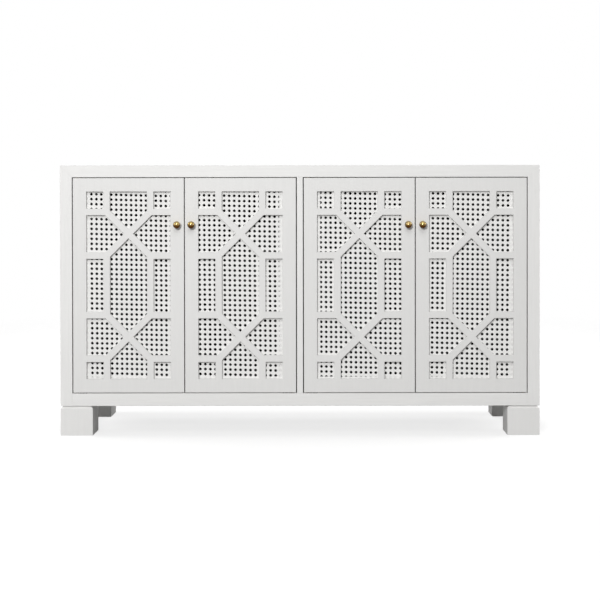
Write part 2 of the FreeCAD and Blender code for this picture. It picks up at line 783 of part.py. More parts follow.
def write():
    """Write each piece to a file of its own."""
    os.makedirs("parts", exist_ok=True)
    for item in sub_parts:
        item.Shape.exportStep(f"parts/{item.Label}.step")
        print(f"{item.Label}: {len(item.Shape.Solids)} solids, {item.Shape.Volume:.1f} cubic mm")


build()
check()
write()
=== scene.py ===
"""Finish of a white fretwork sideboard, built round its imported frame: cane, lacquer, brass, fittings and stage."""

import math

import bpy
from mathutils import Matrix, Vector, noise


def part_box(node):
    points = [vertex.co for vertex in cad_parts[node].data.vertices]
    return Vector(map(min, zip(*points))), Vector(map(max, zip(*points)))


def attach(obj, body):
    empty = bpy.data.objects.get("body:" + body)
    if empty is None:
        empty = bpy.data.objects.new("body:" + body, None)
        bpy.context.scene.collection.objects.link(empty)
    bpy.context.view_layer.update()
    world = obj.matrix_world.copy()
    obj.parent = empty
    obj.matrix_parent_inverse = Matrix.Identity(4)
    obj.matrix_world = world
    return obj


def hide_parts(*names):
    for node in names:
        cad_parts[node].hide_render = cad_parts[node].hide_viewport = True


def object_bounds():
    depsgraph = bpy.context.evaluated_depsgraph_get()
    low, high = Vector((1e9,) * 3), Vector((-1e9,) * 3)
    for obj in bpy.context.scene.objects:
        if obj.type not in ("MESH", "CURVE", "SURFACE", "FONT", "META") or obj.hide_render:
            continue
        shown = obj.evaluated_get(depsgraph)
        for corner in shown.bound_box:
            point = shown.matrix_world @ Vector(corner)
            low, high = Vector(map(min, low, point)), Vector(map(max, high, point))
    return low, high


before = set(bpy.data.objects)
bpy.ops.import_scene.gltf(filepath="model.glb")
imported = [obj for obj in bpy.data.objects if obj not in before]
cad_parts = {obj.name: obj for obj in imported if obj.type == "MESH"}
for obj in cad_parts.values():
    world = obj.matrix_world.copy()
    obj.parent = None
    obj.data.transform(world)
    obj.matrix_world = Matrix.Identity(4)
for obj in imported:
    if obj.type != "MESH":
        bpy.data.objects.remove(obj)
CAD_LOW, CAD_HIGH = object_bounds()

bl_info = {
    "name": "Fretwork sideboard",
    "version": (1, 0, 0),
    "blender": (4, 5, 0),
    "location": "3D View > Sidebar > Sideboard",
    "description": "Weaves the cane and finishes the lacquer, brass and fittings of a sideboard, then sets its stage",
    "category": "Object",
}

INCH = 0.0254
MM = 0.001

# Where the cane lies in each door: its middle hole from the panel's middle across and up, in metres, how far its
# rows fall for each unit to the right, how far its columns lean to the right for each unit up, and how far it was
# pulled across and up when it was fitted.
CANE_LAYS = {
    "left_outer": (8.05 * MM, 1.9 * MM, 0.0279, -0.0032, 0.994, 0.997),
    "left_inner": (-2.55 * MM, -1.2 * MM, 0.0222, -0.0056, 1.008, 0.997),
    "right_inner": (4.2 * MM, 6.1 * MM, 0.0244, -0.0039, 0.992, 0.997),
    "right_outer": (5.15 * MM, 2.4 * MM, 0.0299, 0.0065, 1.003, 0.998),
}
DOORS = tuple(CANE_LAYS)

FEET = ("front_left_foot", "front_right_foot", "back_left_foot", "back_right_foot")
SHELVES = ("left_shelf", "right_shelf")


# Settings that a user would change

class LacquerSettings(bpy.types.PropertyGroup):
    """Colours and surface of the painted wood."""

    colour: bpy.props.FloatVectorProperty(
        name="Lacquer colour", description="White of the case, doors and feet",
        subtype="COLOR", size=3, min=0.0, max=1.0, default=(0.80, 0.795, 0.782))
    door_tone: bpy.props.FloatProperty(
        name="Door tone", description="Share of the case's white that the doors' lacquer has",
        subtype="FACTOR", min=0.0, max=1.0, default=0.93)
    back_tone: bpy.props.FloatProperty(
        name="Back tone", description="Share of the case's white that the thinly painted back has",
        subtype="FACTOR", min=0.0, max=1.0, default=0.92)
    inside_colour: bpy.props.FloatVectorProperty(
        name="Inside colour", description="Dark matte paint of the bays and shelves",
        subtype="COLOR", size=3, min=0.0, max=1.0, default=(0.022, 0.021, 0.020))
    peel_depth: bpy.props.FloatProperty(
        name="Peel depth", description="Height of the fine ripple that spraying leaves",
        subtype="DISTANCE", unit="LENGTH", default=0.00003)
    edge_radius: bpy.props.FloatProperty(
        name="Edge radius", description="How far the lacquer rounds over an edge",
        subtype="DISTANCE", unit="LENGTH", default=0.0007)


class CaneSettings(bpy.types.PropertyGroup):
    """Mesh and strands of the painted cane webbing."""

    colour: bpy.props.FloatVectorProperty(
        name="Cane colour", description="White of the painted cane",
        subtype="COLOR", size=3, min=0.0, max=1.0, default=(0.815, 0.81, 0.797))
    mesh: bpy.props.FloatProperty(
        name="Mesh", description="Distance from one hole to the next",
        subtype="DISTANCE", unit="LENGTH", default=0.625 * INCH)
    pair_width: bpy.props.FloatProperty(
        name="Pair strand width", description="Width of each strand of the upright and level pairs",
        subtype="DISTANCE", unit="LENGTH", default=0.0036)
    diagonal_width: bpy.props.FloatProperty(
        name="Diagonal strand width", description="Width of the slanting strands",
        subtype="DISTANCE", unit="LENGTH", default=0.0030)
    thickness: bpy.props.FloatProperty(
        name="Strand thickness", description="Thickness of every strand with its paint",
        subtype="DISTANCE", unit="LENGTH", default=0.00045)
    wander: bpy.props.FloatProperty(
        name="Wander", description="How far a strand strays from its straight line",
        subtype="DISTANCE", unit="LENGTH", default=0.0003)


class MetalSettings(bpy.types.PropertyGroup):
    """Colours of the brass, the steel and the catches."""

    brass: bpy.props.FloatVectorProperty(
        name="Brass colour", description="Bright brass of the knobs",
        subtype="COLOR", size=3, min=0.0, max=1.0, default=(0.45, 0.32, 0.10))
    # Brown of the knobs' dull patches, and of the painted shade on their undersides.
    tarnish_and_painted_shade: bpy.props.FloatVectorProperty(
        name="Tarnish colour", description="Brown of the brass where it has dulled",
        subtype="COLOR", size=3, min=0.0, max=1.0, default=(0.075, 0.024, 0.001))
    bronze: bpy.props.FloatVectorProperty(
        name="Bronze colour", description="Dark bronzed brass of the hinge leaves",
        subtype="COLOR", size=3, min=0.0, max=1.0, default=(0.11, 0.08, 0.05))
    steel: bpy.props.FloatVectorProperty(
        name="Steel colour", description="Zinc plated screws, strikes and shelf pins",
        subtype="COLOR", size=3, min=0.0, max=1.0, default=(0.60, 0.61, 0.62))
    plastic: bpy.props.FloatVectorProperty(
        name="Catch colour", description="Moulded bodies of the magnetic catches",
        subtype="COLOR", size=3, min=0.0, max=1.0, default=(0.045, 0.045, 0.047))


class StageSettings(bpy.types.PropertyGroup):
    """Floor, lamps and camera."""

    floor_colour: bpy.props.FloatVectorProperty(
        name="Floor colour", description="Pale floor under the sideboard",
        subtype="COLOR", size=3, min=0.0, max=1.0, default=(0.30, 0.30, 0.298))
    floor_white: bpy.props.FloatProperty(
        name="Floor white", description="White that the floor shows to the camera and to metal, over its own colour",
        subtype="FACTOR", min=0.0, max=1.0, default=0.70)
    floor_radius: bpy.props.FloatProperty(
        name="Floor radius", description="How far the floor reaches", subtype="DISTANCE", unit="LENGTH", default=6.0)
    fade_start: bpy.props.FloatProperty(
        name="Fade start", description="Where the floor starts to fade into the background",
        subtype="DISTANCE", unit="LENGTH", default=1.3)
    fade_end: bpy.props.FloatProperty(
        name="Fade end", description="Where the floor has faded into the background",
        subtype="DISTANCE", unit="LENGTH", default=4.5)
    surround: bpy.props.FloatProperty(
        name="Surround", description="Soft light from all round", default=0.13, min=0.0)
    key_power: bpy.props.FloatProperty(
        name="Key lamp", description="Soft lamp in front, at the left", unit="POWER", default=168.0)
    top_power: bpy.props.FloatProperty(
        name="Top lamp", description="Broad lamp high up in front", unit="POWER", default=58.0)
    side_power: bpy.props.FloatProperty(
        name="Side lamps", description="Each of two soft lamps beside the sideboard", unit="POWER", default=66.0)
    rear_power: bpy.props.FloatProperty(
        name="Rear lamp", description="Soft lamp behind the sideboard", unit="POWER", default=88.0)
    camera_place: bpy.props.FloatVectorProperty(
        name="Camera place", description="Where the camera stands",
        subtype="TRANSLATION", unit="LENGTH", size=3, default=(0.065, -4.2, 0.73))
    camera_dip: bpy.props.FloatProperty(
        name="Camera dip", description="How far the camera looks down",
        subtype="ANGLE", default=math.radians(0.506))
    camera_roll: bpy.props.FloatProperty(
        name="Camera roll", description="How far the camera leans to the right",
        subtype="ANGLE", default=math.radians(0.07))
    camera_lens: bpy.props.FloatProperty(
        name="Lens", description="Focal length on a 36 mm sensor", default=75.3, min=1.0)
    camera_shift: bpy.props.FloatVectorProperty(
        name="Camera shift", description="Sideways and upward shift of the lens", size=2, default=(-0.0338, -0.1386))


# Shader helpers

def add(tree, kind, **inputs):
    """A new node, with its named inputs set or linked."""
    node = tree.nodes.new(kind)
    for label, value in inputs.items():
        feed(tree, value, node.inputs[label.replace("_", " ")])
    return node


def feed(tree, value, socket):
    """Link a socket to another, or give it a plain value."""
    if isinstance(value, bpy.types.NodeSocket):
        tree.links.new(value, socket)
    else:
        socket.default_value = value


def maths(tree, operation, first, second=None):
    """Result of a maths node."""
    node = tree.nodes.new("ShaderNodeMath")
    node.operation = operation
    for socket, value in zip(node.inputs, (first, second)):
        if value is not None:
            feed(tree, value, socket)
    return node.outputs[0]


def spread(tree, value, low, high, from_low=0.0, from_high=1.0, smooth=False):
    """A value moved from one range to another."""
    node = add(tree, "ShaderNodeMapRange", Value=value)
    node.interpolation_type = "SMOOTHSTEP" if smooth else "LINEAR"
    for label, number in (("From Min", from_low), ("From Max", from_high), ("To Min", low), ("To Max", high)):
        feed(tree, number, node.inputs[label])
    return node.outputs["Result"]


def blend(tree, share, first, second, mode="MIX"):
    """One colour over another by a share."""
    # A mix node has its own sockets for each kind of data, under the same names: these are the colours'.
    first_colour, second_colour, result = 6, 7, 2
    node = tree.nodes.new("ShaderNodeMix")
    node.data_type = "RGBA"
    node.blend_type = mode
    feed(tree, share, node.inputs["Factor"])
    feed(tree, first, node.inputs[first_colour])
    feed(tree, second, node.inputs[second_colour])
    return node.outputs[result]


def cloud(tree, place, scale, detail=2.0, roughness=0.5):
    """Value of a noise texture."""
    node = add(tree, "ShaderNodeTexNoise", Vector=place, Scale=scale, Detail=detail, Roughness=roughness)
    return node.outputs["Fac"]


def stretched(tree, place, scale):
    """A place with its three axes scaled."""
    node = tree.nodes.new("ShaderNodeVectorMath")
    node.operation = "MULTIPLY"
    feed(tree, place, node.inputs[0])
    feed(tree, scale, node.inputs[1])
    return node.outputs["Vector"]


def opaque(colour):
    """A colour with full alpha."""
    return (*colour, 1.0)


def new_group(name, inputs, outputs):
    """An empty node group with its sockets, and its input and output nodes."""
    group = bpy.data.node_groups.new(name, "ShaderNodeTree")
    for label, kind, value in inputs:
        group.interface.new_socket(label, in_out="INPUT", socket_type=kind).default_value = value
    for label, kind in outputs:
        group.interface.new_socket(label, in_out="OUTPUT", socket_type=kind)
    return group, group.nodes.new("NodeGroupInput"), group.nodes.new("NodeGroupOutput")


def place_group(tree, group, **inputs):
    """A node group placed in a material with its own values."""
    node = tree.nodes.new("ShaderNodeGroup")
    node.node_tree = group
    for label, value in inputs.items():
        feed(tree, value, node.inputs[label.replace("_", " ")])
    return node


def new_material(name, **shader_values):
    """A material with one Principled shader, and its tree and shader."""
    material = bpy.data.materials.new(name)
    material.use_nodes = True
    tree = material.node_tree
    shader = tree.nodes["Principled BSDF"]
    for label, value in shader_values.items():
        shader.inputs[label.replace("_", " ")].default_value = value
    return material, tree, shader


def own_place(tree):
    """Place on the piece in its own coordinates."""
    return tree.nodes.new("ShaderNodeTexCoord").outputs["Object"]


def raise_surface(tree, shader, height, distance, edge_radius=None):
    """Bump the shader's normal by a height, over edges rounded to a radius where one is given."""
    bump = add(tree, "ShaderNodeBump", Height=height, Distance=distance)
    if edge_radius:
        edge = add(tree, "ShaderNodeBevel", Radius=edge_radius)
        edge.samples = 4
        tree.links.new(edge.outputs["Normal"], bump.inputs["Normal"])
    tree.links.new(bump.outputs["Normal"], shader.inputs["Normal"])


def cover(nodes, material):
    """Give frame nodes one material in place of their own."""
    for name in nodes:
        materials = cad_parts[name].data.materials
        materials.clear()
        materials.append(material)


# Effects that several materials share

def paint_film():
    """Sprayed paint: broad tone, streaks of the wood below, and a fine ripple."""
    name = "Paint film"
    if name in bpy.data.node_groups:
        return bpy.data.node_groups[name]
    group, entry, leave = new_group(
        name,
        (("Colour", "NodeSocketColor", (0.8, 0.8, 0.8, 1.0)), ("Tone", "NodeSocketFloat", 0.03),
         ("Sheen low", "NodeSocketFloat", 0.32), ("Sheen high", "NodeSocketFloat", 0.46),
         ("Grain", "NodeSocketVector", (12.0, 160.0, 160.0))),
        (("Colour", "NodeSocketColor"), ("Roughness", "NodeSocketFloat"), ("Height", "NodeSocketFloat")))
    broad_scale, ripple_scale, dull_scale = 2.4, 380.0, 28.0
    broad_share, streak_share, full_tone, streak_height = 0.3, 0.7, 0.55, 0.5
    place = own_place(group)
    broad = cloud(group, place, broad_scale, detail=3.0)
    streak = cloud(group, stretched(group, place, entry.outputs["Grain"]), 1.0, detail=4.0, roughness=0.6)
    ripple = cloud(group, place, ripple_scale)
    dulled = cloud(group, place, dull_scale, detail=4.0, roughness=0.6)
    mottle = maths(group, "ADD", maths(group, "MULTIPLY", broad, broad_share),
                   maths(group, "MULTIPLY", streak, streak_share))
    darker = maths(group, "MULTIPLY", maths(group, "SUBTRACT", full_tone, mottle), entry.outputs["Tone"])
    shade = maths(group, "SUBTRACT", 1.0, maths(group, "MULTIPLY", darker, 2.0))
    tint = add(group, "ShaderNodeCombineColor", Red=shade, Green=shade, Blue=shade).outputs["Color"]
    feed(group, blend(group, 1.0, entry.outputs["Colour"], tint, "MULTIPLY"), leave.inputs["Colour"])
    sheen = add(group, "ShaderNodeMapRange", Value=dulled)
    feed(group, entry.outputs["Sheen low"], sheen.inputs["To Min"])
    feed(group, entry.outputs["Sheen high"], sheen.inputs["To Max"])
    feed(group, sheen.outputs["Result"], leave.inputs["Roughness"])
    height = maths(group, "ADD", ripple, maths(group, "MULTIPLY", streak, streak_height))
    feed(group, height, leave.inputs["Height"])
    return group


def inside_mask():
    """One on the faces of the bays, and nought on every face that shows with the doors shut."""
    name = "Inside mask"
    if name in bpy.data.node_groups:
        return bpy.data.node_groups[name]
    group, _, leave = new_group(name, (), (("Mask", "NodeSocketFloat"),))
    slack = 0.5 * MM
    strip_behind_doors = 3.0 * MM
    half_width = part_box("right_side")[0].x + slack
    floor_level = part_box("case_bottom")[1].z - slack
    ceiling_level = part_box("case_top")[1].z - case_thickness() + slack
    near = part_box("left_outer_door_panel")[1].y + strip_behind_doors
    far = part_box("back_panel")[0].y + slack
    axes = add(group, "ShaderNodeSeparateXYZ", Vector=own_place(group)).outputs
    tests = (
        maths(group, "LESS_THAN", maths(group, "ABSOLUTE", axes["X"]), half_width),
        maths(group, "GREATER_THAN", axes["Y"], near), maths(group, "LESS_THAN", axes["Y"], far),
        maths(group, "GREATER_THAN", axes["Z"], floor_level), maths(group, "LESS_THAN", axes["Z"], ceiling_level))
    mask = tests[0]
    for test in tests[1:]:
        mask = maths(group, "MULTIPLY", mask, test)
    feed(group, mask, leave.inputs["Mask"])
    return group


def metal_wear():
    """Handled metal: dull patches, turning lines and fine scratches."""
    name = "Metal wear"
    if name in bpy.data.node_groups:
        return bpy.data.node_groups[name]
    group, entry, leave = new_group(
        name,
        (("Bright", "NodeSocketColor", (0.7, 0.7, 0.7, 1.0)), ("Dull", "NodeSocketColor", (0.3, 0.3, 0.3, 1.0)),
         ("Amount", "NodeSocketFloat", 0.4), ("Sheen low", "NodeSocketFloat", 0.15),
         ("Sheen high", "NodeSocketFloat", 0.3), ("Scratch", "NodeSocketVector", (300.0, 4000.0, 300.0))),
        (("Colour", "NodeSocketColor"), ("Roughness", "NodeSocketFloat"), ("Height", "NodeSocketFloat")))
    patch_scale, patch_start, patch_full = 160.0, 0.35, 0.75
    patch_share, scratch_share = 0.6, 0.4
    place = own_place(group)
    mottle = cloud(group, place, patch_scale, detail=4.0, roughness=0.6)
    patch = spread(group, mottle, 0.0, 1.0, patch_start, patch_full, smooth=True)
    share = maths(group, "MULTIPLY", patch, entry.outputs["Amount"])
    scratch = cloud(group, stretched(group, place, entry.outputs["Scratch"]), 1.0, detail=3.0)
    feed(group, blend(group, share, entry.outputs["Bright"], entry.outputs["Dull"]), leave.inputs["Colour"])
    dullness = maths(group, "ADD", maths(group, "MULTIPLY", patch, patch_share),
                     maths(group, "MULTIPLY", scratch, scratch_share))
    sheen = add(group, "ShaderNodeMapRange", Value=dullness)
    feed(group, entry.outputs["Sheen low"], sheen.inputs["To Min"])
    feed(group, entry.outputs["Sheen high"], sheen.inputs["To Max"])
    feed(group, sheen.outputs["Result"], leave.inputs["Roughness"])
    feed(group, scratch, leave.inputs["Height"])
    return group


def case_thickness():
    """Thickness of the case's top and sides."""
    low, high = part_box("right_side")
    return high.x - low.x


# Finishes

# Scale of the grain on each axis: boards whose grain runs along X and along Z, and cane, the same all ways.
ALONG_X = (9.0, 170.0, 170.0)
ALONG_Z = (170.0, 170.0, 9.0)
EVEN_GRAIN = (420.0, 420.0, 420.0)
# Roughness of each paint, and of the plastic, where it is smoothest and where it is dullest.
SATIN = (0.46, 0.60)
MATTE = (0.75, 0.87)
BRUSHED = (0.42, 0.60)
DARK_MATTE = (0.62, 0.80)
MOULDED = (0.42, 0.62)
# How far the wood shows through the paint: open and filled grain, cane, and the dark paint's own patches.
OPEN_GRAIN = 0.09
FILLED_GRAIN = 0.05
CANE_TONE = 0.06
DARK_TONE = 0.25
# Height of the finest relief of the cane, the knobs, the other metal and the plastic, in metres.
CANE_RELIEF = 0.04 * MM
KNOB_RELIEF = 0.001 * MM
METAL_RELIEF = 0.01 * MM
PLASTIC_RELIEF = 0.02 * MM
# Metal: scale of the scratches on each axis, roughness, how strongly dull patches show, and the share of the
# metal's own colour that they keep.
TURNED = (60.0, 3500.0, 60.0)
BRUSHED_ACROSS_X = (2500.0, 60.0, 60.0)
EVEN_SCRATCH = (700.0, 700.0, 700.0)
KNOB_SHEEN = (0.10, 0.16)
BRONZE_SHEEN = (0.38, 0.55)
ZINC_SHEEN = (0.28, 0.5)
KNOB_WEAR = 0.3
FITTING_WEAR = 0.5
BRONZE_DULL = 0.5
ZINC_DULL = 0.55


def lacquer(name, settings, grain, tone=1.0, dark_inside=False, sheen=SATIN, streaks=OPEN_GRAIN):
    """White lacquer, with the bays' faces in dark matte paint where they are asked for."""
    duller_inside = 0.3
    material, tree, shader = new_material(name, IOR=1.5)
    white = opaque([part * tone for part in settings.colour])
    film = place_group(tree, paint_film(), Colour=white, Tone=streaks, Sheen_low=sheen[0],
                       Sheen_high=sheen[1], Grain=grain)
    colour, roughness = film.outputs["Colour"], film.outputs["Roughness"]
    if dark_inside:
        mask = place_group(tree, inside_mask()).outputs["Mask"]
        dark = place_group(tree, paint_film(), Colour=opaque(settings.inside_colour), Tone=DARK_TONE,
                           Sheen_low=DARK_MATTE[0], Sheen_high=DARK_MATTE[1], Grain=grain)
        colour = blend(tree, mask, colour, dark.outputs["Colour"])
        roughness = maths(tree, "ADD", roughness, maths(tree, "MULTIPLY", mask, duller_inside))
    feed(tree, colour, shader.inputs["Base Color"])
    feed(tree, roughness, shader.inputs["Roughness"])
    raise_surface(tree, shader, film.outputs["Height"], settings.peel_depth, settings.edge_radius)
    return material


def dark_paint(name, settings):
    """Dark matte paint of the shelves."""
    material, tree, shader = new_material(name, IOR=1.45)
    film = place_group(tree, paint_film(), Colour=opaque(settings.inside_colour), Tone=DARK_TONE,
                       Sheen_low=DARK_MATTE[0], Sheen_high=DARK_MATTE[1], Grain=ALONG_X)
    feed(tree, film.outputs["Colour"], shader.inputs["Base Color"])
    feed(tree, film.outputs["Roughness"], shader.inputs["Roughness"])
    raise_surface(tree, shader, film.outputs["Height"], settings.peel_depth)
    return material


def painted_cane(settings):
    """Cane strands under a brushed coat of white paint."""
    material, tree, shader = new_material("painted_cane", IOR=1.5)
    film = place_group(tree, paint_film(), Colour=opaque(settings.colour), Tone=CANE_TONE, Sheen_low=BRUSHED[0],
                       Sheen_high=BRUSHED[1], Grain=EVEN_GRAIN)
    feed(tree, film.outputs["Colour"], shader.inputs["Base Color"])
    feed(tree, film.outputs["Roughness"], shader.inputs["Roughness"])
    raise_surface(tree, shader, film.outputs["Height"], CANE_RELIEF)
    return material


def knob_brass_with_painted_shade(settings):
    """Polished brass under clear lacquer, painted dark brown on its underside as painted shade, where its clear coat
    is also left off.
    """
    fully_under, fully_above = -0.55, 0.6
    material, tree, shader = new_material("polished_brass", Metallic=1.0, Coat_Roughness=0.03)
    wear = place_group(tree, metal_wear(), Bright=opaque(settings.brass), Dull=opaque(settings.tarnish_and_painted_shade),
                       Amount=KNOB_WEAR, Sheen_low=KNOB_SHEEN[0], Sheen_high=KNOB_SHEEN[1], Scratch=TURNED)
    facing = add(tree, "ShaderNodeSeparateXYZ", Vector=tree.nodes.new("ShaderNodeTexCoord").outputs["Normal"])
    # Painted shade: the more a face of the knob looks down, the more its colour is blended towards the tarnish brown,
    # and the less clear coat it has.
    painted_underside_shade = spread(tree, facing.outputs["Z"], 1.0, 0.0, fully_under, fully_above, smooth=True)
    feed(tree, blend(tree, painted_underside_shade, wear.outputs["Colour"], opaque(settings.tarnish_and_painted_shade)), shader.inputs["Base Color"])
    feed(tree, maths(tree, "SUBTRACT", 1.0, painted_underside_shade), shader.inputs["Coat Weight"])
    feed(tree, wear.outputs["Roughness"], shader.inputs["Roughness"])
    raise_surface(tree, shader, wear.outputs["Height"], KNOB_RELIEF)
    return material


def plain_metal(name, bright, dull, scratch, sheen):
    """Satin metal with dull patches and fine scratches."""
    material, tree, shader = new_material(name, Metallic=1.0)
    wear = place_group(tree, metal_wear(), Bright=opaque(bright), Dull=opaque(dull), Amount=FITTING_WEAR,
                       Sheen_low=sheen[0], Sheen_high=sheen[1], Scratch=scratch)
    feed(tree, wear.outputs["Colour"], shader.inputs["Base Color"])
    feed(tree, wear.outputs["Roughness"], shader.inputs["Roughness"])
    raise_surface(tree, shader, wear.outputs["Height"], METAL_RELIEF)
    return material


def moulded_plastic(settings):
    """Dark moulded plastic with a spark-eroded grain."""
    material, tree, shader = new_material("catch_plastic", IOR=1.46)
    grain_scale, tone_scale = 2600.0, 90.0
    darkest, palest = 0.8, 1.2
    place = own_place(tree)
    grain = cloud(tree, place, grain_scale)
    tone = spread(tree, cloud(tree, place, tone_scale, detail=3.0), darkest, palest)
    tint = add(tree, "ShaderNodeCombineColor", Red=tone, Green=tone, Blue=tone).outputs["Color"]
    feed(tree, blend(tree, 1.0, opaque(settings.plastic), tint, "MULTIPLY"), shader.inputs["Base Color"])
    feed(tree, spread(tree, grain, *MOULDED), shader.inputs["Roughness"])
    raise_surface(tree, shader, grain, PLASTIC_RELIEF)
    return material


# Cane weaving

STEPS_PER_CELL = 5
# Where the flat front of a strand ends, as a share of its width from its middle line.
CROWN_SHARE = 0.3
# How far the pairs and the diagonals weave in front of and behind the panel's middle.
PAIR_RISE = 0.28 * MM
DIAGONAL_RISE = 0.42 * MM
# Scale of the noise that makes strands stray, and what sets doors and strand widths apart in it.
STRAY_SCALE = 22.0
DOOR_SEED = 11.3
WIDTH_SEED = 900.0
# Runs shorter than this share of a strand are left out.
SHORTEST_SHARE = 1e-3
# A run that travels less than this along an axis, in metres, is square to it.
NO_TRAVEL = 1e-9
SHARP_ANGLE = math.radians(60)


class Weave:
    """Strands of one cane panel, gathered as vertices and faces."""

    def __init__(self, door, settings):
        low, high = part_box(f"{door}_cane")
        across, up, self.fall, self.lean, self.pull_across, self.pull_up = CANE_LAYS[door]
        margin = settings.pair_width / 2
        self.low, self.high = (low.x + margin, low.z + margin), (high.x - margin, high.z - margin)
        self.middle = ((low.x + high.x) / 2 + across, (low.z + high.z) / 2 + up)
        self.depth = (low.y + high.y) / 2
        self.step = settings.mesh
        self.settings = settings
        self.seed = DOORS.index(door) * DOOR_SEED
        self.reach = int(max(high.x - low.x, high.z - low.z) / settings.mesh) + 2
        self.vertices, self.faces = [], []

    def to_panel(self, u, v):
        """Place on the panel, across and up, of a point given in holes from the middle one."""
        u, v = u * self.pull_across, v * self.pull_up
        x = self.middle[0] + self.step * (u + self.lean * v)
        z = self.middle[1] + self.step * (v - self.fall * u)
        return x, z

    def inside(self, start, end):
        """Shares of a straight run at which it enters and leaves the panel, or None."""
        first, last = 0.0, 1.0
        for axis in range(2):
            travel = end[axis] - start[axis]
            bounds = (self.low[axis] - start[axis], self.high[axis] - start[axis])
            if abs(travel) < NO_TRAVEL:
                if bounds[0] > 0 or bounds[1] < 0:
                    return None
                continue
            near, far = sorted(bound / travel for bound in bounds)
            first, last = max(first, near), min(last, far)
        return (first, last) if last - first > SHORTEST_SHARE else None

    def strand(self, start, end, width, rise):
        """One strand between two points in holes; rise gives its height over the panel at a point."""
        begin, finish = self.to_panel(*start), self.to_panel(*end)
        span = self.inside(begin, finish)
        if span is None:
            return
        cells = max(abs(end[0] - start[0]), abs(end[1] - start[1])) * (span[1] - span[0])
        count = max(2, round(cells * STEPS_PER_CELL))
        run = Vector((finish[0] - begin[0], finish[1] - begin[1])).normalized()
        side = Vector((-run.y, run.x))
        base = len(self.vertices)
        for number in range(count + 1):
            share = span[0] + (span[1] - span[0]) * number / count
            u = start[0] + (end[0] - start[0]) * share
            v = start[1] + (end[1] - start[1]) * share
            x, z = self.to_panel(u, v)
            spot = Vector((x * STRAY_SCALE, z * STRAY_SCALE, self.seed + width * WIDTH_SEED))
            middle = Vector((x, z)) + side * (self.settings.wander * noise.noise(spot))
            height = rise(u, v)
            front = self.depth - height - self.settings.thickness / 2
            back = front + self.settings.thickness
            for offset, level in ((-0.5, back), (-CROWN_SHARE, front), (CROWN_SHARE, front), (0.5, back)):
                edge = middle + side * (offset * width)
                self.vertices.append((edge.x, level, edge.y))
        self.skin(base, count)

    def skin(self, base, count):
        """Faces of one strand, with its ends closed."""
        ring = 4
        for number in range(count):
            near, far = base + number * ring, base + (number + 1) * ring
            for corner in range(ring):
                other = (corner + 1) % ring
                self.faces.append((near + corner, near + other, far + other, far + corner))
        last = base + count * ring
        self.faces.append((base + 3, base + 2, base + 1, base))
        self.faces.append((last, last + 1, last + 2, last + 3))

    def weave(self):
        """Upright pairs, level pairs and both sets of diagonals."""
        reach = self.reach
        pair = self.settings.pair_width / 2 / self.step
        for line in range(-reach, reach):
            middle = line + 0.5
            for sign in (-1, 1):
                self.strand((middle + sign * pair, -reach), (middle + sign * pair, reach), self.settings.pair_width,
                            lambda u, v, s=sign: -s * PAIR_RISE * math.cos(math.pi * (v - 0.5)))
                row = -1 if line % 2 else 1
                self.strand((-reach, middle + sign * pair), (reach, middle + sign * pair), self.settings.pair_width,
                            lambda u, v, r=row: r * PAIR_RISE * math.sin(2 * math.pi * (u - 0.5)))
        for line in range(-2 * reach, 2 * reach):
            middle = line + 0.5
            for sign in (-1, 1):
                self.strand((-reach, sign * (middle - reach)), (reach, sign * (middle + reach)),
                            self.settings.diagonal_width,
                            lambda u, v, s=sign: s * DIAGONAL_RISE * math.cos(2 * math.pi * u))


def cane_panel(door, settings, material):
    """Woven cane of one door, in the place of its plain sheet."""
    weave = Weave(door, settings)
    weave.weave()
    mesh = bpy.data.meshes.new(f"{door}_woven_cane")
    mesh.from_pydata(weave.vertices, [], weave.faces)
    mesh.polygons.foreach_set("use_smooth", [True] * len(mesh.polygons))
    mesh.set_sharp_from_angle(angle=SHARP_ANGLE)
    mesh.materials.append(material)
    panel = bpy.data.objects.new(f"{door}_woven_cane", mesh)
    bpy.context.scene.collection.objects.link(panel)
    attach(panel, f"{door}_door")
    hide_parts(f"{door}_cane")
    return panel


# Operators

class SIDEBOARD_OT_weave_cane(bpy.types.Operator):
    """Weave the painted cane of the four doors."""

    bl_idname = "sideboard.weave_cane"
    bl_label = "Weave cane"

    def execute(self, context):
        settings = context.scene.sideboard_cane
        material = painted_cane(settings)
        for door in DOORS:
            cane_panel(door, settings, material)
        return {"FINISHED"}


class SIDEBOARD_OT_lacquer_case(bpy.types.Operator):
    """Lacquer the case and its feet white, with the bays, back and shelves dark inside."""

    bl_idname = "sideboard.lacquer_case"
    bl_label = "Lacquer case"

    def execute(self, context):
        settings = context.scene.sideboard_lacquer
        cover(("case_top", "case_bottom"), lacquer("case_lacquer_level", settings, ALONG_X, dark_inside=True))
        cover(("left_side", "right_side", "centre_partition"),
              lacquer("case_lacquer_upright", settings, ALONG_Z, dark_inside=True))
        cover(FEET, lacquer("foot_lacquer", settings, ALONG_Z, sheen=MATTE, streaks=FILLED_GRAIN))
        cover(("back_panel",), lacquer("back_board", settings, ALONG_X, settings.back_tone, dark_inside=True))
        cover(SHELVES, dark_paint("shelf_board", settings))
        return {"FINISHED"}


class SIDEBOARD_OT_lacquer_doors(bpy.types.Operator):
    """Lacquer the fretwork doors and the beads that hold their cane."""

    bl_idname = "sideboard.lacquer_doors"
    bl_label = "Lacquer doors"

    def execute(self, context):
        settings = context.scene.sideboard_lacquer
        material = lacquer("door_lacquer", settings, ALONG_Z, settings.door_tone, streaks=FILLED_GRAIN)
        cover([f"{door}_{piece}" for door in DOORS for piece in ("door_panel", "cane_beads")], material)
        return {"FINISHED"}


class SIDEBOARD_OT_polish_knobs(bpy.types.Operator):
    """Give the ball knobs their aged brass, with painted shade on their undersides."""

    bl_idname = "sideboard.polish_knobs"
    bl_label = "Polish knobs"

    def execute(self, context):
        cover([f"{door}_knob" for door in DOORS], knob_brass_with_painted_shade(context.scene.sideboard_metal))
        return {"FINISHED"}


